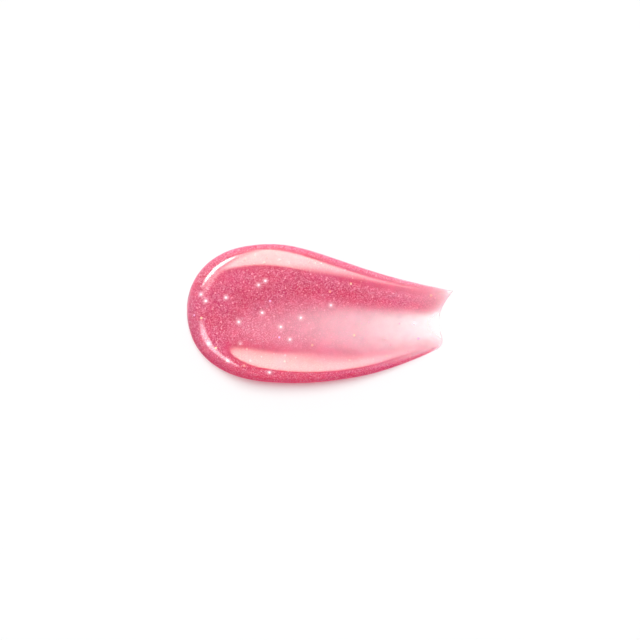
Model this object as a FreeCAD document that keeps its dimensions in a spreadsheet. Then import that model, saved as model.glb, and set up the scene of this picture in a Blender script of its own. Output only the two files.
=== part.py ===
"""A smear of shimmering lip gloss: one body of gel and the glitter flakes that lie in its skin.

The origin is the centre of the resting face. +X runs from the rounded head to the thin tail, +Y is the
side of the broad rim and +Z is up. Lengths are in millimetres.
"""
import FreeCAD
import Part
import math
import os
import random

Vector = FreeCAD.Vector

# Every driving size: alias, value, what it is.
DIMENSIONS = (
    ("head_shoulder", 2.60, "edge to crest round the head, on the steep rim's side"),
    ("broad_shoulder", 3.40, "edge to crest on the broad rim and the head beside it"),
    ("steep_shoulder", 1.10, "edge to crest on the steep rim"),
    ("shoulder_change_start", -12.5, "where along X the head's shoulder begins to narrow to the steep rim's"),
    ("shoulder_change_end", -8.5, "where along X it has narrowed"),
    ("wall_share", 0.10, "share of the local height that stands upright at the edge"),
    ("edge_roundness", 0.72, "power of the edge profile: less is rounder, 1 is a plain parabola"),
    ("inner_slope_power", 2.6, "power of the steep rim's inner slope: more is hollower at its foot"),
    ("flake_radius", 0.15, "centre to corner of a glitter flake"),
    ("flake_thickness", 0.04, "thickness of a glitter flake"),
    ("pearl_radius", 0.09, "centre to corner of a pearl flake"),
    ("pearl_thickness", 0.03, "thickness of a pearl flake"),
    ("flake_proud", 0.01, "how far a flake stands out of the gel"),
    ("flake_edge_gap", 1.0, "least distance from a scattered flake to the edge of the gel"),
    ("flake_spacing", 0.55, "least distance between two flakes"),
    ("flake_cover", 0.12, "least gel under a flake"),
)

# Cross-sections from the head to the tail. Heights are in millimetres; the last four columns are shares of
# the width, counted from the broad side.
STATION_COLUMNS = ("station", "floor_height", "broad_height", "steep_height",
                   "broad_crest", "broad_toe", "steep_toe", "steep_crest")
STATIONS = (
    (-13.2, 2.12, 2.12, 2.14, 0.26, 0.60, 0.70, 0.885),
    (-11.6, 1.70, 2.12, 2.30, 0.26, 0.60, 0.62, 0.885),
    (-10.0, 1.32, 2.10, 2.38, 0.26, 0.59, 0.57, 0.885),
    (-6.5, 1.06, 2.08, 2.36, 0.24, 0.56, 0.57, 0.912),
    (-2.0, 0.78, 2.02, 2.32, 0.20, 0.50, 0.53, 0.940),
    (3.0, 0.50, 1.80, 1.98, 0.18, 0.41, 0.50, 0.945),
    (8.0, 0.25, 1.42, 1.40, 0.15, 0.34, 0.48, 0.940),
    (13.0, 0.09, 1.00, 0.70, 0.13, 0.30, 0.50, 0.935),
    (16.0, 0.07, 0.80, 0.45, 0.13, 0.30, 0.50, 0.935),
)

# Control points of the two sides of the outline, head to tail. Both start at the nose and leave it at
# right angles to X, so the head is round.
BROAD_SIDE = (
    (-16.0, 0.54), (-16.0, 3.3), (-13.2, 7.3), (-7.7, 8.5),
    (-3.1, 8.4), (3.5, 6.0), (9.7, 4.0), (16.0, 2.75),
)
STEEP_SIDE = (
    (-16.0, 0.54), (-16.0, -2.5), (-13.6, -6.4), (-8.0, -8.3),
    (-1.9, -8.4), (1.7, -8.1), (8.3, -7.0), (14.15, -4.25),
)
# Control points of the torn end of the film, from the broad side's tip to the steep side's tip.
TORN_END = (
    (16.0, 2.75), (14.6, 1.0), (14.2, -0.6), (14.6, -2.6), (14.9, -3.6), (14.15, -4.25),
)
DEGREE = 3
# Rows of the gel surface are added at these places along the outline, closer together at both ends.
EXTRA_ROWS = (0.12, 0.3, 0.55, 0.8, 1.25, 1.5, 1.75, 2.25, 2.5, 2.75, 3.25, 3.5, 3.75, 4.25, 4.5, 4.75, 4.93)
COLUMNS = 27
# Between these shares of the width the broad side's shape gives way to the steep side's.
MIDDLE = (0.3, 0.7)
SCATTER_SEED = 5
# Turn of a flake about its own axis, in degrees per millimetre of X and of Y.
SPIN = (37.0, 91.0)
DROP_ROUNDS = 12
TOLERANCE = 0.001

# Glitter flakes: node name, sizes in the sheet, flakes set by hand (x, y), number scattered.
FLAKES = (
    ("silver_flakes", "flake", ((-14.2, 2.3), (-13.6, 1.5), (-13.3, -3.6), (-11.2, 1.9), (-11.0, -5.6),
                                (-9.7, -1.0), (-9.5, -3.6), (-8.3, -5.6), (-7.7, 7.0), (-7.3, 3.4),
                                (-6.9, 0.1), (-6.5, 3.9), (-6.0, -7.0), (-4.8, 6.5), (-4.7, -1.6),
                                (-3.7, 6.1), (-3.6, -3.1), (-2.3, -0.5), (1.3, 1.0), (11.3, -1.2)), 0),
    ("gold_flakes", "flake", ((4.1, -2.6), (-12.4, -4.1), (-4.2, -5.7)), 6),
    ("copper_flakes", "flake", ((-9.0, -6.2),), 5),
    ("violet_flakes", "flake", ((3.0, 5.2), (-15.0, -0.2)), 5),
    ("rose_pearl_flakes", "pearl", (), 90),
)


def smooth_step(start, end, place):
    """Rise from 0 at start to 1 at end, level at both."""
    share = min(max((place - start) / (end - start), 0.0), 1.0)
    return share * share * (3.0 - 2.0 * share)


def blend(first, second, share):
    return first + (second - first) * share


def add_sheet(doc):
    """The driving sizes in columns A to C, and the table of cross-sections below them."""
    sheet = doc.addObject("Spreadsheet::Sheet", "dimensions")
    for row, (alias, value, meaning) in enumerate(DIMENSIONS, start=1):
        sheet.set("A%d" % row, alias)
        sheet.set("B%d" % row, str(value))
        sheet.set("C%d" % row, meaning)
        sheet.setAlias("B%d" % row, alias)
    header = len(DIMENSIONS) + 2
    for letter, column in zip("ABCDEFGH", STATION_COLUMNS):
        sheet.set("%s%d" % (letter, header), column)
        for number, values in enumerate(STATIONS, start=1):
            cell = "%s%d" % (letter, header + number)
            sheet.set(cell, str(values[STATION_COLUMNS.index(column)]))
            sheet.setAlias(cell, "%s_%d" % (column, number))
    doc.recompute()
    return sheet


def clamped_curve(points):
    """A cubic curve that starts and ends on its outer control points."""
    poles = [Vector(x, y, 0) for x, y in points]
    spans = len(poles) - DEGREE
    knots = list(range(spans + 1))
    mults = [DEGREE + 1] + [1] * (spans - 1) + [DEGREE + 1]
    curve = Part.BSplineCurve()
    curve.buildFromPolesMultsKnots(poles, mults, knots, False, DEGREE)
    return curve


def outline_curves():
    """The broad side, the steep side and the torn end, centred on the origin."""
    curves = [clamped_curve(points) for points in (BROAD_SIDE, STEEP_SIDE, TORN_END)]
    box = Part.Compound([curve.toShape() for curve in curves]).optimalBoundingBox(False)
    for curve in curves:
        curve.translate(Vector(-box.Center.x, -box.Center.y, 0))
    return curves


class Gel:
    """The free surface of the gel and the heights that shape it."""

    def __init__(self, sheet):
        self.size = {alias: sheet.get(alias) for alias, value, meaning in DIMENSIONS}
        numbers = range(1, len(STATIONS) + 1)
        self.stations = {column: [sheet.get("%s_%d" % (column, number)) for number in numbers]
                         for column in STATION_COLUMNS}
        self.broad, self.steep, self.end = outline_curves()
        sides = [curve.toShape() for curve in (self.broad, self.end, self.steep)]
        self.edge = Part.Wire(Part.__sortEdges__(sides))
        self.plan = Part.Face(self.edge)
        for curve in (self.broad, self.steep):
            for place in EXTRA_ROWS:
                curve.insertKnot(place, 1, 0.0)
        self.full_width = max(self.row_width(row) for row in range(self.broad.NbPoles))
        self.surface = self.build_surface()

    def row_width(self, row):
        return self.broad.getPoles()[row].distanceToPoint(self.steep.getPoles()[row])

    def edge_distance(self, place):
        return self.edge.distToShape(Part.Vertex(Vector(place.x, place.y, 0)))[0]

    def section(self, column, x):
        """One column of the cross-section table at x, on a smooth curve through the stations."""
        places, values = self.stations["station"], self.stations[column]
        x = min(max(x, places[0]), places[-1])
        left = max(number for number in range(len(places) - 1) if places[number] <= x)
        share = (x - places[left]) / (places[left + 1] - places[left])
        before, after = max(left - 1, 0), min(left + 2, len(places) - 1)
        gap = places[left + 1] - places[left]
        start_slope = (values[left + 1] - values[before]) / (places[left + 1] - places[before]) * gap
        end_slope = (values[after] - values[left]) / (places[after] - places[left]) * gap
        rise = share * share * (3.0 - 2.0 * share)
        return (blend(values[left], values[left + 1], rise) + share * (1.0 - share) ** 2 * start_slope
                - share * share * (1.0 - share) * end_slope)

    def crest_height(self, x, across):
        """Height without the trough: the head's dome, then a rim on each side."""
        sides = self.section("broad_height", x), self.section("steep_height", x)
        return blend(*sides, smooth_step(*MIDDLE, across))

    def trough_share(self, x, across):
        """1 on the trough floor, 0 on both crests."""
        down = smooth_step(self.section("broad_crest", x), self.section("broad_toe", x), across)
        toe, crest = self.section("steep_toe", x), self.section("steep_crest", x)
        climb = min(max((across - toe) / (crest - toe), 0.0), 1.0)
        return down * (1.0 - climb ** self.size["inner_slope_power"])

    def height(self, place, across, width_share):
        """Gel height over one place of the plan."""
        size = self.size
        local = blend(self.crest_height(place.x, across), self.section("floor_height", place.x),
                      self.trough_share(place.x, across))
        own = smooth_step(size["shoulder_change_start"], size["shoulder_change_end"], place.x)
        far_side = blend(size["head_shoulder"], size["steep_shoulder"], own)
        shoulder = blend(size["broad_shoulder"], far_side, smooth_step(*MIDDLE, across)) * width_share
        inset = min(self.edge_distance(place) / shoulder, 1.0)
        rise = (1.0 - (1.0 - inset) ** 2) ** size["edge_roundness"]
        return local * blend(size["wall_share"], 1.0, rise)

    def build_surface(self):
        """A cubic surface over the whole outline; its first row closes to the nose."""
        across = [0.5 - 0.5 * math.cos(math.pi * step / (COLUMNS - 1)) for step in range(COLUMNS)]
        across = [0.0] + across + [1.0]
        broad = self.broad.getPoles()
        steep = self.steep.getPoles()
        last = len(broad) - 1
        widest = max(range(last + 1), key=self.row_width)
        poles = []
        for row in range(last + 1):
            width_share = self.row_width(row) / self.full_width if row > widest else 1.0
            pull = smooth_step(0.0, 1.0, (row - widest) / (last - widest)) ** 2
            line = []
            for column, share in enumerate(across):
                place = broad[row] + (steep[row] - broad[row]) * share
                straight = broad[last] + (steep[last] - broad[last]) * share
                torn = self.end.value(self.end.LastParameter * share)
                place += (torn - straight) * pull
                rests = row in (0, last) or column in (0, len(across) - 1)
                place.z = 0.0 if rests else self.height(place, share, width_share)
                line.append(place)
            poles.append(line)
        surface = Part.BSplineSurface()
        surface.buildFromPolesMultsKnots(
            poles,
            self.broad.getMultiplicities(), self.column_mults(len(across)),
            self.broad.getKnots(), list(range(len(across) - DEGREE + 1)),
            False, False, DEGREE, DEGREE)
        return surface

    def column_mults(self, count):
        return [DEGREE + 1] + [1] * (count - DEGREE - 1) + [DEGREE + 1]

    def solid(self):
        top = self.surface.toShape()
        rim = [edge for edge in top.Edges if not edge.Degenerated]
        rest = Part.Face(Part.Wire(Part.__sortEdges__(rim)))
        skin = Part.Compound([top, rest])
        skin.sewShape()
        body = Part.Solid(skin.Shells[0])
        if body.Volume < 0:
            body.reverse()
        return body

    def covers(self, place):
        """True where the gel reaches past a place by the edge gap all round."""
        clear = self.edge_distance(place) > self.size["flake_edge_gap"]
        return clear and self.plan.isInside(place, TOLERANCE, True)

    def drop(self, x, y):
        """The point of the surface over x, y, and the surface's outward normal there."""
        point = Vector(x, y, 1.0)
        for step in range(DROP_ROUNDS):
            along, across = self.surface.parameter(point)
            point = Vector(x, y, self.surface.value(along, across).z)
        normal = self.surface.normal(along, across)
        return point, normal if normal.z > 0 else normal * -1


def scattered_places(box, margin):
    """Endless random places over the outline's box, the same on every run."""
    chance = random.Random(SCATTER_SEED)
    while True:
        yield Vector(chance.uniform(box.XMin + margin, box.XMax - margin),
                     chance.uniform(box.YMin + margin, box.YMax - margin), 0)


def add_flake(doc, name, kind, point, normal):
    """One hexagonal flake bound to the sheet, its outer face just proud of the gel and parallel to it."""
    size = doc.getObject("dimensions")
    flake = doc.addObject("Part::Prism", name)
    flake.Polygon = 6
    flake.setExpression("Circumradius", "dimensions.%s_radius" % kind)
    flake.setExpression("Height", "dimensions.%s_thickness" % kind)
    sunk = size.get("%s_thickness" % kind) - size.get("flake_proud")
    turn = FreeCAD.Rotation(Vector(0, 0, 1), normal)
    spin = FreeCAD.Rotation(Vector(0, 0, 1), SPIN[0] * point.x + SPIN[1] * point.y)
    flake.Placement = FreeCAD.Placement(point - normal * sunk, turn * spin)
    return flake


def add_flakes(doc, gel):
    """Every group of flakes as one compound of separate prisms."""
    box = gel.edge.BoundBox
    places = scattered_places(box, gel.size["flake_edge_gap"])
    taken = [Vector(x, y, 0) for node, kind, chosen, count in FLAKES for x, y in chosen]
    groups = []
    for node, kind, chosen, count in FLAKES:
        spots = [gel.drop(x, y) for x, y in chosen]
        while len(spots) < len(chosen) + count:
            flat = next(places)
            nearest = min(flat.distanceToPoint(other) for other in taken)
            if nearest < gel.size["flake_spacing"] or not gel.covers(flat):
                continue
            point, normal = gel.drop(flat.x, flat.y)
            if point.z < gel.size["flake_cover"] + gel.size["%s_thickness" % kind]:
                continue
            taken.append(flat)
            spots.append((point, normal))
        group = doc.addObject("Part::Compound", node)
        group.Label = node
        group.Links = [add_flake(doc, "%s_%d" % (node[:-1], number), kind, point, normal)
                       for number, (point, normal) in enumerate(spots, start=1)]
        groups.append(group)
    return groups


def check(doc, pieces):
    """Stop if any object failed to recompute or any piece isn't a sound shape."""
    for item in doc.Objects:
        if "Invalid" in item.State or "Error" in item.State:
            raise RuntimeError("%s is %s" % (item.Label, item.State))
    for piece in pieces:
        if piece.Shape.isNull() or not piece.Shape.isValid():
            raise RuntimeError("%s has no sound shape" % piece.Label)


def main():
    doc = FreeCAD.newDocument("lip_gloss_smear")
    gel = Gel(add_sheet(doc))
    blank = doc.addObject("Part::Feature", "gel_blank")
    blank.Shape = gel.solid()
    groups = add_flakes(doc, gel)
    seats = doc.addObject("Part::Compound", "flake_seats")
    seats.Links = groups
    body = doc.addObject("Part::Cut", "gloss_gel")
    body.Label = "gloss_gel"
    body.Base = blank
    body.Tool = seats
    doc.recompute()
    pieces = [body] + groups
    check(doc, pieces)
    os.makedirs("parts", exist_ok=True)
    for piece in pieces:
        piece.Shape.exportStep("parts/%s.step" % piece.Label)
        box = piece.Shape.BoundBox
        print("%s: %d solids, %.3f mm3, %.2f x %.2f x %.2f mm" % (
            piece.Label, len(piece.Shape.Solids), piece.Shape.Volume, box.XLength, box.YLength, box.ZLength))


main()
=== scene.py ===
"""Looks for the lip gloss smear: wet translucent gel with shimmer, glitter flakes, floor, lights, camera.

Lengths are in metres. MM turns millimetres into metres.
"""
import math

import bmesh
import bpy
import numpy as np
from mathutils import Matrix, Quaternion, Vector
from mathutils.bvhtree import BVHTree
from mathutils.kdtree import KDTree


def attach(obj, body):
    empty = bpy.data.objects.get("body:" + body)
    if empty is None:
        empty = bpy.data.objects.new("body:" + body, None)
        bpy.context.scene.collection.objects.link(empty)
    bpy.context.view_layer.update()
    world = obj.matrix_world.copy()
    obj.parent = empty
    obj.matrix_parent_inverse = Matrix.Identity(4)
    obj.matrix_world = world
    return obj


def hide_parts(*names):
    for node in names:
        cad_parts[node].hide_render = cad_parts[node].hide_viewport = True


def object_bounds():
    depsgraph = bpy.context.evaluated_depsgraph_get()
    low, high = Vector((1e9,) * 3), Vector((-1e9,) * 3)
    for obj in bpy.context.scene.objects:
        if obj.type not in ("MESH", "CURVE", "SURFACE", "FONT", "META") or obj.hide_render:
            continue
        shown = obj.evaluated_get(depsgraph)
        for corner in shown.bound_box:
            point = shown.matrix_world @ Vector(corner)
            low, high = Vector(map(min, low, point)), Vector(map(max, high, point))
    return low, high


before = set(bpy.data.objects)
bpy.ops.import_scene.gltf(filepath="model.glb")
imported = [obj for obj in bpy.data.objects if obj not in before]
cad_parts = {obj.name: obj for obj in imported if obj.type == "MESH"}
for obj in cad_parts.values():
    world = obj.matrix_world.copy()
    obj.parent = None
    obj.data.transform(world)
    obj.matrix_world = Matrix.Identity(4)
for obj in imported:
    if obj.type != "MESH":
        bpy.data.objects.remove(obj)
cad_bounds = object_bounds()
MM = 0.001

# The gel's grid. Each row is probed from above at DENSE_COLUMNS points, then evened out to COLUMNS.
ROWS = 320
COLUMNS = 150
DENSE_COLUMNS = 500
PROBE_HEIGHT = 10 * MM

# CAD points closer than this are one point, and CAD points lower than this lie on the floor
MERGE_DISTANCE = 0.0005 * MM
FLAT = 0.002 * MM

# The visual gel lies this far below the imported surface, so that the flakes show
BELOW_FLAKES = 0.014 * MM
SHARP_ANGLE = math.radians(60)

# Smoothing passes along and across. The tail's own passes fade in from TAIL_START to TAIL_FULL, along x.
LENGTH_SMOOTHING = 40
WIDTH_SMOOTHING = 14
TAIL_SMOOTHING = 60
TAIL_START = 5 * MM
TAIL_FULL = 10 * MM

# How deep a point looks: never deeper than DEPTH_CAP times the height within NEARBY_STEPS of it,
# and up to WALL_DEPTH deeper on a wall, except where the gel is a film
NEARBY_STEPS = 8
DEPTH_CAP = 1.6
WALL_DEPTH = 0.7 * MM
FILM = 0.5 * MM

# Size of a pearl grain, and of the patches that make the flakes' painted glow differ in strength
GRAIN = 0.075 * MM
FLAKE_PATCH = 0.9 * MM

# Sizes of the soft variations in the gel's brightness and hue
CLOUD = 1.2 * MM
HUE_PATCH = 6.0 * MM

# The ramps over depth reach their end here, in millimetres
DEEPEST = 4.0

# Gel this deep, in millimetres, hides about two thirds of the floor
VEIL_DEPTH = 0.25

# How far the painted glow of a silver flake reaches into the gel's colour around it
HALO_REACH = 0.20 * MM
HALO_STRENGTH = 0.5

# The wet coat over gel and flakes
COAT_ROUGHNESS = 0.035
COAT_IOR = 1.47

# Linear colours
DEEP_VIOLET = (0.62, 0.10, 0.30)
PEARL = (1.0, 0.38, 0.52)
# The next colour is painted glints: the few grains that flash are painted this bright.
PAINTED_GLINT = (1.0, 0.70, 0.76)
# The next colour is a painted glow round each silver flake, blended into the gel's colour.
PAINTED_HALO = (1.0, 0.80, 0.86)
# The next colour is painted glow: the gel's walls that face away from the key light emit it, in place of
# light that has crossed the gel.
PAINTED_BACKLIGHT = (1.0, 0.05, 0.16)
# The next colour is painted onto the flakes where the softbox's reflection falls on them, a painted dimming
# that stands in for the highlight drowning their glints.
DROWNED_FLAKE = (0.66, 0.12, 0.20)
WHITE = (1.0, 1.0, 1.0)
FLOOR_GREY = (0.875, 0.875, 0.875)

# Directions as azimuth and elevation in degrees. Glints drown where the gel mirrors the GLARE.
GLARE = (88, 35)
KEY = (80, 56)

# The place along x from which the panels' angles are measured
HEAD_X = -4 * MM

# The camera. The picture is PICTURE_WIDTH smear lengths wide. Its middle lies below the smear's middle
# by this share of the picture.
PICTURE_WIDTH = 2.405
LOWERED = 0.01
LENS = 85.0
SENSOR = 36.0


def direction(towards):
    azimuth, elevation = (math.radians(angle) for angle in towards)
    level = math.cos(elevation)
    return Vector((math.cos(azimuth) * level, math.sin(azimuth) * level, math.sin(elevation)))


# ---------------------------------------------------------------- gel mesh

def merged_points(obj):
    """The object's points and triangles with doubled points merged."""
    mesh = bmesh.new()
    mesh.from_mesh(obj.data)
    bmesh.ops.remove_doubles(mesh, verts=mesh.verts, dist=MERGE_DISTANCE)
    bmesh.ops.triangulate(mesh, faces=mesh.faces)
    mesh.verts.ensure_lookup_table()
    mesh.faces.ensure_lookup_table()
    points = [v.co.copy() for v in mesh.verts]
    faces = [[v.index for v in f.verts] for f in mesh.faces]
    mesh.free()
    return points, faces


def contact_line(points, faces):
    """The closed line where the gel meets the floor, as points in order."""
    count = {}
    for face in faces:
        if all(points[index].z < FLAT for index in face):
            for first, second in zip(face, face[1:] + face[:1]):
                key = (min(first, second), max(first, second))
                count[key] = count.get(key, 0) + 1
    ways = {}
    for (first, second), uses in count.items():
        if uses == 1:
            ways.setdefault(first, []).append(second)
            ways.setdefault(second, []).append(first)
    start = min(ways, key=lambda index: points[index].x)
    line = [start]
    came, here = None, start
    while True:
        onward = [index for index in ways[here] if index != came]
        came, here = here, onward[0]
        if here == start:
            break
        line.append(here)
    if points[line[1]].y < points[line[-1]].y:
        line = [line[0]] + line[:0:-1]
    return np.array([points[index][:2] for index in line])


def resample(line, shares):
    """Points at the given shares of a line's length, on a smooth curve through the line's own points."""
    steps = np.linalg.norm(np.diff(line, axis=0), axis=1)
    length = np.concatenate([[0.0], np.cumsum(steps)])
    slope = np.gradient(line, length, axis=0)
    wanted = np.asarray(shares) * length[-1]
    left = np.clip(np.searchsorted(length, wanted, side="right") - 1, 0, len(steps) - 1)
    gap = steps[left][:, None]
    share = ((wanted - length[left]) / steps[left])[:, None]
    rest = 1 - share
    start = (1 + 2 * share) * rest ** 2 * line[left] + share * rest ** 2 * gap * slope[left]
    end = share ** 2 * (3 - 2 * share) * line[left + 1] - share ** 2 * rest * gap * slope[left + 1]
    return start + end


def split_outline(line):
    """The broad side, the torn end and the steep side, each as a line away from the nose or the broad tip."""
    broad_tip = int(np.argmax(line[:, 0]))
    ahead = np.roll(line, -1, axis=0) - line
    back = line - np.roll(line, 1, axis=0)
    cross = back[:, 0] * ahead[:, 1] - back[:, 1] * ahead[:, 0]
    turn = np.abs(np.arctan2(cross, (back * ahead).sum(axis=1)))
    steep_tip = broad_tip + 1 + int(np.argmax(turn[broad_tip + 1:]))
    broad = line[:broad_tip + 1]
    torn = line[broad_tip:steep_tip + 1]
    steep = np.concatenate([line[steep_tip:], line[:1]])[::-1]
    return broad, torn, steep


def gel_grid():
    """The gel's free surface as a grid of points, rows from the nose to the torn end."""
    points, faces = merged_points(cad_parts["gloss_gel"])
    broad, torn, steep = split_outline(contact_line(points, faces))
    covered_points, covered_faces = list(points), list(faces)
    for name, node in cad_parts.items():
        if name != "gloss_gel":
            more_points, more_faces = merged_points(node)
            offset = len(covered_points)
            covered_points += more_points
            covered_faces += [[index + offset for index in face] for face in more_faces]
    tree = BVHTree.FromPolygons(covered_points, covered_faces)

    along = 1.0 - np.cos(np.linspace(0, 1, ROWS) * math.pi / 2)
    across = 0.5 - 0.5 * np.cos(np.linspace(0, 1, DENSE_COLUMNS) * math.pi)
    broad_row = resample(broad, along)
    steep_row = resample(steep, along)
    torn_row = resample(torn, across)
    straight = broad_row[-1] + (steep_row[-1] - broad_row[-1]) * across[:, None]
    grid = np.zeros((ROWS, COLUMNS, 3))
    down = Vector((0, 0, -1))
    for row in range(ROWS):
        pull = max(0.0, (along[row] - 0.5) / 0.5) ** 4
        plan = broad_row[row] + (steep_row[row] - broad_row[row]) * across[:, None]
        plan += (torn_row - straight) * pull
        section = np.zeros((DENSE_COLUMNS, 3))
        section[:, :2] = plan
        if 0 < row < ROWS - 1:
            for column in range(1, DENSE_COLUMNS - 1):
                hit = tree.ray_cast(Vector((*plan[column], PROBE_HEIGHT)), down)
                section[column, 2] = hit[0].z if hit[0] else 0.0
        grid[row] = resample(section, np.linspace(0, 1, COLUMNS)) if row else section[0]
    return grid


def smooth_grid(grid):
    """Even out the facets of the CAD mesh, more so in the thin tail; the contact line keeps its place."""
    tail = np.clip((grid[1:-1, 1:-1, :1] - TAIL_START) / (TAIL_FULL - TAIL_START), 0.0, 1.0)
    passes = ((LENGTH_SMOOTHING, 0, 0.5), (WIDTH_SMOOTHING, 1, 0.5),
              (TAIL_SMOOTHING, 0, 0.5 * tail), (TAIL_SMOOTHING // 2, 1, 0.5 * tail))
    for steps, axis, share in passes:
        for step in range(steps):
            if axis == 0:
                around = (grid[:-2, 1:-1] + grid[2:, 1:-1]) / 2.0
            else:
                around = (grid[1:-1, :-2] + grid[1:-1, 2:]) / 2.0
            grid[1:-1, 1:-1] += share * (around - grid[1:-1, 1:-1])
    return grid


def gel_mesh(grid):
    """A closed mesh: the grid on top and the same grid pressed flat below, joined along the contact line."""
    rows, columns = grid.shape[:2]
    under = grid[1:-1, 1:-1].copy()
    under[:, :, 2] = 0.0
    points = np.concatenate([grid[:1, 0], grid[1:].reshape(-1, 3), under.reshape(-1, 3)])
    top = np.zeros((rows, columns), dtype=int)
    top[1:] = 1 + np.arange((rows - 1) * columns).reshape(rows - 1, columns)
    base = top.copy()
    base[1:-1, 1:-1] = top.max() + 1 + np.arange(under[:, :, 0].size).reshape(rows - 2, columns - 2)
    faces = []
    for sheet, upward in ((top, True), (base, False)):
        for row in range(rows - 1):
            for column in range(columns - 1):
                left, right = sheet[row:row + 2, column], sheet[row:row + 2, column + 1]
                face = list(dict.fromkeys((left[0], right[0], right[1], left[1])))
                faces.append(face if upward else face[::-1])
    mesh = bpy.data.meshes.new("gel_surface")
    mesh.from_pydata(points.tolist(), [], faces)
    mesh.update()
    return mesh


def nearby_height(grid):
    """The greatest gel height close to each point of the grid."""
    height = grid[:, :, 2].copy()
    for step in range(NEARBY_STEPS):
        for axis in (0, 1):
            height = np.maximum(height, np.maximum(np.roll(height, 1, axis), np.roll(height, -1, axis)))
    return height


def add_depth(mesh, grid):
    """Store how much gel is seen behind each point, in millimetres, as the attribute depth.

    A slope bends the view into the body, so it counts as deeper. The thin film's own edge
    stays clear, because little height nearby weakens this and caps the depth.
    """
    tree = BVHTree.FromPolygons([v.co for v in mesh.vertices], [p.vertices for p in mesh.polygons])
    nearby = nearby_height(grid)
    nearby = np.concatenate([nearby[:1, 0], nearby[1:].ravel(), nearby[1:-1, 1:-1].ravel()])
    wall = WALL_DEPTH * np.minimum(nearby / FILM, 1.0) ** 2
    depth = np.zeros(len(mesh.vertices))
    clear_of_skin = 0.01 * MM
    for number, vertex in enumerate(mesh.vertices):
        inward = -vertex.normal
        hit = tree.ray_cast(vertex.co + inward * clear_of_skin, inward)
        behind = (hit[3] if hit[0] else 0.0) + wall[number] * vertex.normal.xy.length
        depth[number] = min(behind, DEPTH_CAP * nearby[number]) / MM
    attribute = mesh.attributes.new("depth", "FLOAT", "POINT")
    attribute.data.foreach_set("value", depth)


def add_halos(mesh):
    """Store how strongly the painted glow of the nearest silver flake lightens each point, as the attribute
    halo.
    """
    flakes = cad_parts["silver_flakes"].data.vertices
    tree = KDTree(len(flakes))
    for number, vertex in enumerate(flakes):
        tree.insert(vertex.co, number)
    tree.balance()
    distances = [tree.find(vertex.co)[2] for vertex in mesh.vertices]
    glow = [HALO_STRENGTH * math.exp(-(distance / HALO_REACH) ** 2) for distance in distances]
    attribute = mesh.attributes.new("halo", "FLOAT", "POINT")
    attribute.data.foreach_set("value", glow)


def build_gel():
    """The gel that is seen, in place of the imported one."""
    grid = smooth_grid(gel_grid())
    grid[1:-1, 1:-1, 2] -= BELOW_FLAKES
    mesh = gel_mesh(grid)
    gel = bpy.data.objects.new("gel_body", mesh)
    bpy.context.scene.collection.objects.link(gel)
    mesh.shade_smooth()
    mesh.set_sharp_from_angle(angle=SHARP_ANGLE)
    add_depth(mesh, grid)
    add_halos(mesh)
    mesh.materials.append(gel_material())
    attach(gel, "root")
    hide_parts("gloss_gel")


# ---------------------------------------------------------------- materials

class Nodes:
    """A short way to write a node tree."""

    def __init__(self, name, tree=None):
        if tree is None:
            self.material = bpy.data.materials.new(name)
            self.material.use_nodes = True
            tree = self.material.node_tree
        self.tree = tree
        self.tree.nodes.clear()

    def add(self, kind, inputs=None, **settings):
        node = self.tree.nodes.new("ShaderNode" + kind)
        for name, value in settings.items():
            setattr(node, name, value)
        for name, value in (inputs or {}).items():
            self.put(node.inputs[name], value)
        return node

    def put(self, socket, value):
        if isinstance(value, bpy.types.NodeSocket):
            self.tree.links.new(value, socket)
        elif socket.type == "RGBA":
            socket.default_value = (*value, 1.0)
        else:
            socket.default_value = value

    def math(self, operation, first, second=0.0, clamp=False):
        node = self.add("Math", {0: first, 1: second}, operation=operation, use_clamp=clamp)
        return node.outputs[0]

    def stretch(self, value, start, end, low, high):
        """Value's range from start to end, stretched straight to the range from low to high."""
        return self.add("MapRange", {"Value": value, "From Min": start, "From Max": end,
                                     "To Min": low, "To Max": high}).outputs[0]

    def rise(self, value, start, end):
        """0 up to the start, 1 from the end on, and a smooth rise between them."""
        return self.add("MapRange", {"Value": value, "From Min": start, "From Max": end},
                        interpolation_type="SMOOTHSTEP").outputs[0]

    def blend(self, factor, first, second):
        """The first colour where the factor is 0, the second where it is 1."""
        first_colour, second_colour = 6, 7
        inputs = {"Factor": factor, first_colour: first, second_colour: second}
        return self.add("Mix", inputs, data_type="RGBA").outputs[2]

    def channels(self, colour):
        return self.add("SeparateColor", {"Color": colour}).outputs

    def place(self):
        return self.add("TexCoord").outputs["Object"]

    def attribute(self, name):
        return self.add("Attribute", attribute_name=name).outputs["Fac"]

    def ramp(self, factor, stops):
        node = self.add("ValToRGB", {"Fac": factor})
        elements = node.color_ramp.elements
        while len(elements) < len(stops):
            elements.new(0.5)
        for element, (place, colour) in zip(elements, stops):
            element.position = place
            element.color = (*colour, 1.0)
        return node.outputs["Color"]

    def less_at_grazing(self):
        """1 seen straight on, almost 0 at a low angle, so that the panels don't whiten the side views."""
        facing = self.add("LayerWeight", {"Blend": 0.5})
        return self.stretch(facing.outputs["Facing"], 0.3, 0.55, 1.0, 0.02)

    def away_from_softbox(self):
        """1 where the softbox isn't mirrored, small where it is, because its light drowns the glints."""
        mirrored = self.add("TexCoord").outputs["Reflection"]
        shine = self.add("VectorMath", {0: mirrored, 1: direction(GLARE)}, operation="DOT_PRODUCT")
        return self.stretch(shine.outputs["Value"], 0.72, 0.88, 1.0, 0.15)

    def finish(self, shader):
        output = self.add("OutputMaterial")
        self.tree.links.new(shader, output.inputs["Surface"])
        return self.material


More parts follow.
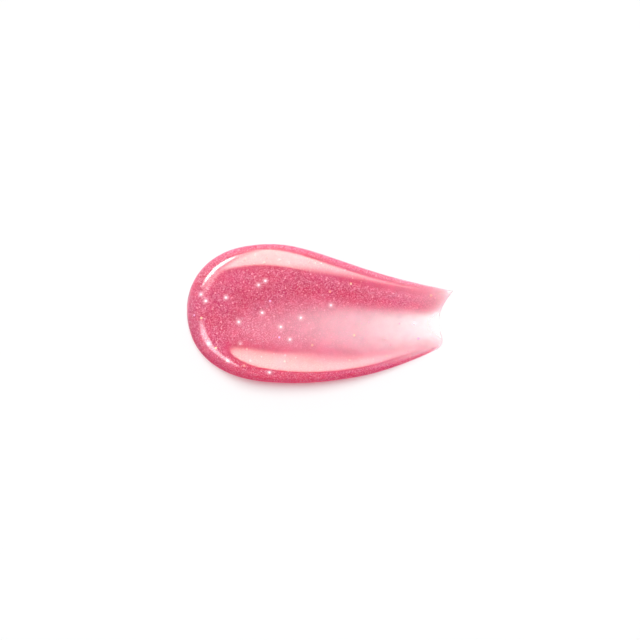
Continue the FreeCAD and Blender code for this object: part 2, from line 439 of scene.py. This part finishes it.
def gel_material():
    """Wet pink gel: colour and cover grow with depth, fine pearl grains glint under a smooth clear coat."""
    nodes = Nodes("gel")
    depth = nodes.attribute("depth")
    share = nodes.math("DIVIDE", depth, DEEPEST, clamp=True)
    body = nodes.ramp(share, (
        (0.00, (0.79, 0.59, 0.58)),
        (0.06, (0.77, 0.54, 0.565)),
        (0.13, (0.75, 0.44, 0.49)),
        (0.20, (0.74, 0.33, 0.395)),
        (0.27, (0.72, 0.205, 0.285)),
        (0.37, (0.68, 0.105, 0.19)),
        (0.46, (0.62, 0.042, 0.112)),
        (1.00, (0.72, 0.045, 0.12)),
    ))
    colour = add_shimmer(nodes, add_clouds(nodes, body, depth), depth)
    normal = nodes.add("NewGeometry").outputs["Normal"]
    raised = nodes.add("VectorMath", {0: normal, 1: (0.0, 0.0, 0.8)}, operation="ADD")
    soft_normal = nodes.add("VectorMath", {0: raised.outputs[0]}, operation="NORMALIZE")
    level_view = nodes.less_at_grazing()
    coat = nodes.math("MULTIPLY", level_view, nodes.stretch(depth, 0.3, 1.5, 0.6, 1.0))
    side = nodes.add("SeparateXYZ", {0: normal}).outputs["Y"]
    clearness = nodes.math("EXPONENT", nodes.math("DIVIDE", depth, -VEIL_DEPTH))
    skin = nodes.add("BsdfPrincipled", {
        "Base Color": colour,
        "Roughness": 0.42,
        "Normal": soft_normal.outputs[0],
        "Subsurface Weight": 0.6,
        "Subsurface Radius": (1.0, 0.2, 0.3),
        "Subsurface Scale": 1.0 * MM,
        "Specular IOR Level": nodes.math("MULTIPLY", level_view, 0.1),
        "Coat Weight": coat,
        "Coat Roughness": COAT_ROUGHNESS,
        "Coat IOR": COAT_IOR,
        "Coat Normal": normal,
        "Alpha": nodes.math("SUBTRACT", 1.0, clearness),
        # Painted glow: walls that face away from the key light emit deep red, in place of light that has
        # crossed the gel.
        "Emission Color": PAINTED_BACKLIGHT,
        "Emission Strength": nodes.stretch(side, -0.2, -1.0, 0.0, 0.3),
    })
    return nodes.finish(let_light_through(nodes, skin.outputs[0], share))


def add_clouds(nodes, colour, depth):
    """Soft patches of slightly different brightness, and of violet where the gel is deep."""
    cloud = nodes.add("TexNoise", {"Vector": nodes.place(), "Scale": 1.0 / CLOUD, "Detail": 2.0})
    brightness = nodes.stretch(cloud.outputs["Fac"], 0.3, 0.7, 0.93, 1.07)
    patch = nodes.add("TexNoise", {"Vector": nodes.place(), "Scale": 1.0 / HUE_PATCH})
    violet_share = nodes.math("MULTIPLY", nodes.stretch(patch.outputs["Fac"], 0.45, 0.7, 0.0, 0.25),
                              nodes.stretch(depth, 0.8, 1.8, 0.0, 1.0))
    tinted = nodes.blend(violet_share, colour, DEEP_VIOLET)
    return nodes.add("VectorMath", {0: tinted, "Scale": brightness}, operation="SCALE").outputs[0]


def add_shimmer(nodes, colour, depth):
    """Pearl grains, a few of them painted as bright glints, and a painted glow round each silver flake."""
    calm = nodes.away_from_softbox()
    strength = nodes.math("MULTIPLY", calm, nodes.stretch(depth, 0.1, 1.2, 0.15, 0.7))
    grain = nodes.add("TexVoronoi", {"Vector": nodes.place(), "Scale": 1.0 / GRAIN})
    chance = nodes.channels(grain.outputs["Color"])
    pearl = nodes.math("MULTIPLY", nodes.rise(chance[0], 0.35, 1.0), strength)
    # Painted glints: a few grains are painted the bright flash colour.
    flash = nodes.math("MULTIPLY", nodes.stretch(chance[1], 0.965, 0.985, 0.0, 1.0), strength)
    # Painted glow: the gel's colour is lightened round each silver flake.
    halo = nodes.math("MULTIPLY", nodes.attribute("halo"), calm)
    for share, light in ((pearl, PEARL), (flash, PAINTED_GLINT), (halo, PAINTED_HALO)):
        colour = nodes.blend(share, colour, light)
    return colour


def let_light_through(nodes, shader, share):
    """Tint the gel's shadow with the gel's own colour, and see through its underside."""
    shade = nodes.ramp(share, (
        (0.00, WHITE),
        (0.10, (0.90, 0.68, 0.75)),
        (0.40, (0.38, 0.06, 0.10)),
        (1.00, (0.20, 0.02, 0.04)),
    ))
    behind = nodes.add("NewGeometry").outputs["Backfacing"]
    clear = nodes.add("BsdfTransparent", {"Color": nodes.blend(behind, shade, WHITE)})
    shadow = nodes.add("LightPath").outputs["Is Shadow Ray"]
    through = nodes.math("MAXIMUM", shadow, behind)
    return nodes.add("MixShader", {0: through, 1: shader, 2: clear.outputs[0]}).outputs[0]


def flake_material(name, colour, glow):
    """A pearly flake under the same wet coat as the gel. Its painted glow, an emission that stands in for its
    glint, differs from flake to flake.
    """
    nodes = Nodes(name)
    patch = nodes.add("TexVoronoi", {"Vector": nodes.place(), "Scale": 1.0 / FLAKE_PATCH})
    chance = nodes.channels(patch.outputs["Color"])
    calm = nodes.away_from_softbox()
    glint = nodes.stretch(chance[0], 0.0, 1.0, 0.3 * glow, glow)
    flake = nodes.add("BsdfPrincipled", {
        # Where the softbox is mirrored, the flake's colour is painted the dimmer pink of the gel, as if its
        # highlight drowned the glint.
        "Base Color": nodes.blend(calm, DROWNED_FLAKE, colour),
        "Roughness": 0.5,
        "Specular IOR Level": 0.0,
        "Coat Weight": nodes.less_at_grazing(),
        "Coat Roughness": COAT_ROUGHNESS,
        "Coat IOR": COAT_IOR,
        # Painted glints: the flakes emit light, more or less from patch to patch, though they are no lamps.
        "Emission Color": colour,
        "Emission Strength": nodes.math("MULTIPLY", calm, glint),
    })
    return nodes.finish(flake.outputs[0])


def dress_flakes():
    """Each kind of flake gets its own colour and its own greatest painted glow."""
    looks = {
        "silver_flakes": ((0.96, 0.64, 0.70), 0.7),
        "gold_flakes": ((1.0, 0.60, 0.40), 0.35),
        "copper_flakes": ((0.98, 0.40, 0.34), 0.35),
        "violet_flakes": ((0.88, 0.42, 0.68), 0.25),
        "rose_pearl_flakes": ((0.97, 0.40, 0.50), 0.25),
    }
    for node, look in looks.items():
        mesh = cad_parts[node].data
        mesh.materials.clear()
        mesh.materials.append(flake_material(node, *look))


# ---------------------------------------------------------------- stage

def add_square(name, half, height):
    """A square, twice half as wide, that lies level around the origin."""
    mesh = bpy.data.meshes.new(name)
    corners = [(-half, -half, height), (half, -half, height), (half, half, height), (-half, half, height)]
    mesh.from_pydata(corners, [], [(0, 1, 2, 3)])
    square = bpy.data.objects.new(name, mesh)
    bpy.context.scene.collection.objects.link(square)
    return square


def add_floor():
    """A plain floor just below the gel, left out of reflections."""
    floor = add_square("floor", 3.0, -0.02 * MM)
    nodes = Nodes("floor")
    paint = nodes.add("BsdfDiffuse", {"Color": FLOOR_GREY})
    floor.data.materials.append(nodes.finish(paint.outputs[0]))
    floor.visible_glossy = False


def add_sun(towards, strength, spread):
    """The key light, as wide as its spread in degrees, so that its shadow is soft."""
    lamp = bpy.data.lights.new("key", "SUN")
    lamp.energy = strength
    lamp.angle = math.radians(spread)
    sun = bpy.data.objects.new("key", lamp)
    sun.rotation_euler = (-direction(towards)).to_track_quat("-Z", "Y").to_euler()
    sun.visible_glossy = False
    bpy.context.scene.collection.objects.link(sun)


def panel_shape(nodes, softness):
    """1 in the panel's middle, 0 at its edge. One softness makes an oval; two, across and up, make a box."""
    if len(softness) == 1:
        radius = nodes.add("VectorMath", {0: nodes.place()}, operation="LENGTH").outputs["Value"]
        return nodes.rise(radius, 1.0, 1.0 - softness[0])
    split = nodes.add("SeparateXYZ", {0: nodes.place()})
    across, up = (nodes.rise(nodes.math("ABSOLUTE", split.outputs[axis]), 1.0, 1.0 - softness[axis])
                  for axis in (0, 1))
    return nodes.math("MULTIPLY", across, up)


def add_panel(name, towards, distance, spans, roll, radiance, colour, softness):
    """A reflector seen only in reflections. Its place, spans and roll are in degrees, seen from the head."""
    panel = add_square(name, 1, 0)
    facing = direction(towards)
    panel.location = facing * distance + Vector((HEAD_X, 0, 0))
    turn = facing.to_track_quat("Z", "Y") @ Quaternion((0, 0, 1), math.radians(roll))
    panel.rotation_euler = turn.to_euler()
    half_width, half_height = (distance * math.tan(math.radians(span) / 2) for span in spans)
    panel.scale = (half_width, half_height, 1)
    nodes = Nodes(name)
    strength = nodes.math("MULTIPLY", panel_shape(nodes, softness), radiance)
    glow = nodes.add("Emission", {"Color": colour, "Strength": strength})
    clear = nodes.add("BsdfTransparent")
    both = nodes.add("AddShader", {0: glow.outputs[0], 1: clear.outputs[0]})
    panel.data.materials.append(nodes.finish(both.outputs[0]))
    panel.visible_camera = False
    panel.visible_diffuse = False
    panel.visible_shadow = False


def add_lights():
    """The softbox makes the pale bands, the strip the thin arc, and the other two the head's soft sheen."""
    add_sun(KEY, 2.95, 40)
    add_panel("softbox", (91, 35), 0.056, (60, 58), -30, 16.0, (1.0, 0.93, 0.79), (0.6, 0.4))
    add_panel("strip", (131, 21.5), 0.108, (54, 17), 13, 30.0, (1.0, 0.98, 0.88), (0.6,))
    add_panel("glow", (142, 36), 0.08, (50, 34), 30, 6.0, (1.0, 0.90, 0.84), (0.8,))
    add_panel("fill", (208, 40), 0.06, (48, 50), 0, 12.0, (1.0, 0.92, 0.90), (0.7,))


def add_world():
    """Even light on rough surfaces, a brighter far side in reflections, plain white behind the floor."""
    even_light = 0.375
    backdrop = 1.05
    world = bpy.data.worlds.new("studio")
    bpy.context.scene.world = world
    world.use_nodes = True
    nodes = Nodes("studio", world.node_tree)
    split = nodes.add("SeparateXYZ", {0: nodes.add("TexCoord").outputs["Generated"]})
    side = nodes.stretch(split.outputs["Y"], -0.3, 0.7, 0.05, 0.6)
    above = nodes.stretch(split.outputs["Z"], -0.05, 0.05, 0.2, 1.0)
    path = nodes.add("LightPath")
    room = nodes.math("MULTIPLY", side, above)
    lit = nodes.add("Mix", {"Factor": path.outputs["Is Glossy Ray"], "A": even_light, "B": room})
    seen = nodes.add("Mix", {"Factor": path.outputs["Is Camera Ray"], "A": lit.outputs[0], "B": backdrop})
    sky = nodes.add("Background", {"Color": WHITE, "Strength": seen.outputs[0]})
    nodes.tree.links.new(sky.outputs[0], nodes.add("OutputWorld").inputs["Surface"])


def add_camera():
    """Straight above, with the smear a little above the middle of the picture."""
    low, high = (Vector(corner) for corner in cad_bounds)
    field = (high.x - low.x) * PICTURE_WIDTH
    data = bpy.data.cameras.new("camera")
    data.lens = LENS
    data.sensor_width = SENSOR
    data.clip_start = 0.01
    camera = bpy.data.objects.new("camera", data)
    middle = (low + high) / 2
    camera.location = (middle.x, middle.y - LOWERED * field, field * LENS / SENSOR)
    bpy.context.scene.collection.objects.link(camera)
    bpy.context.scene.camera = camera


build_gel()
dress_flakes()
add_floor()
add_lights()
add_world()
add_camera()
bpy.context.scene.view_settings.view_transform = "Standard"
bpy.context.view_layer.update()
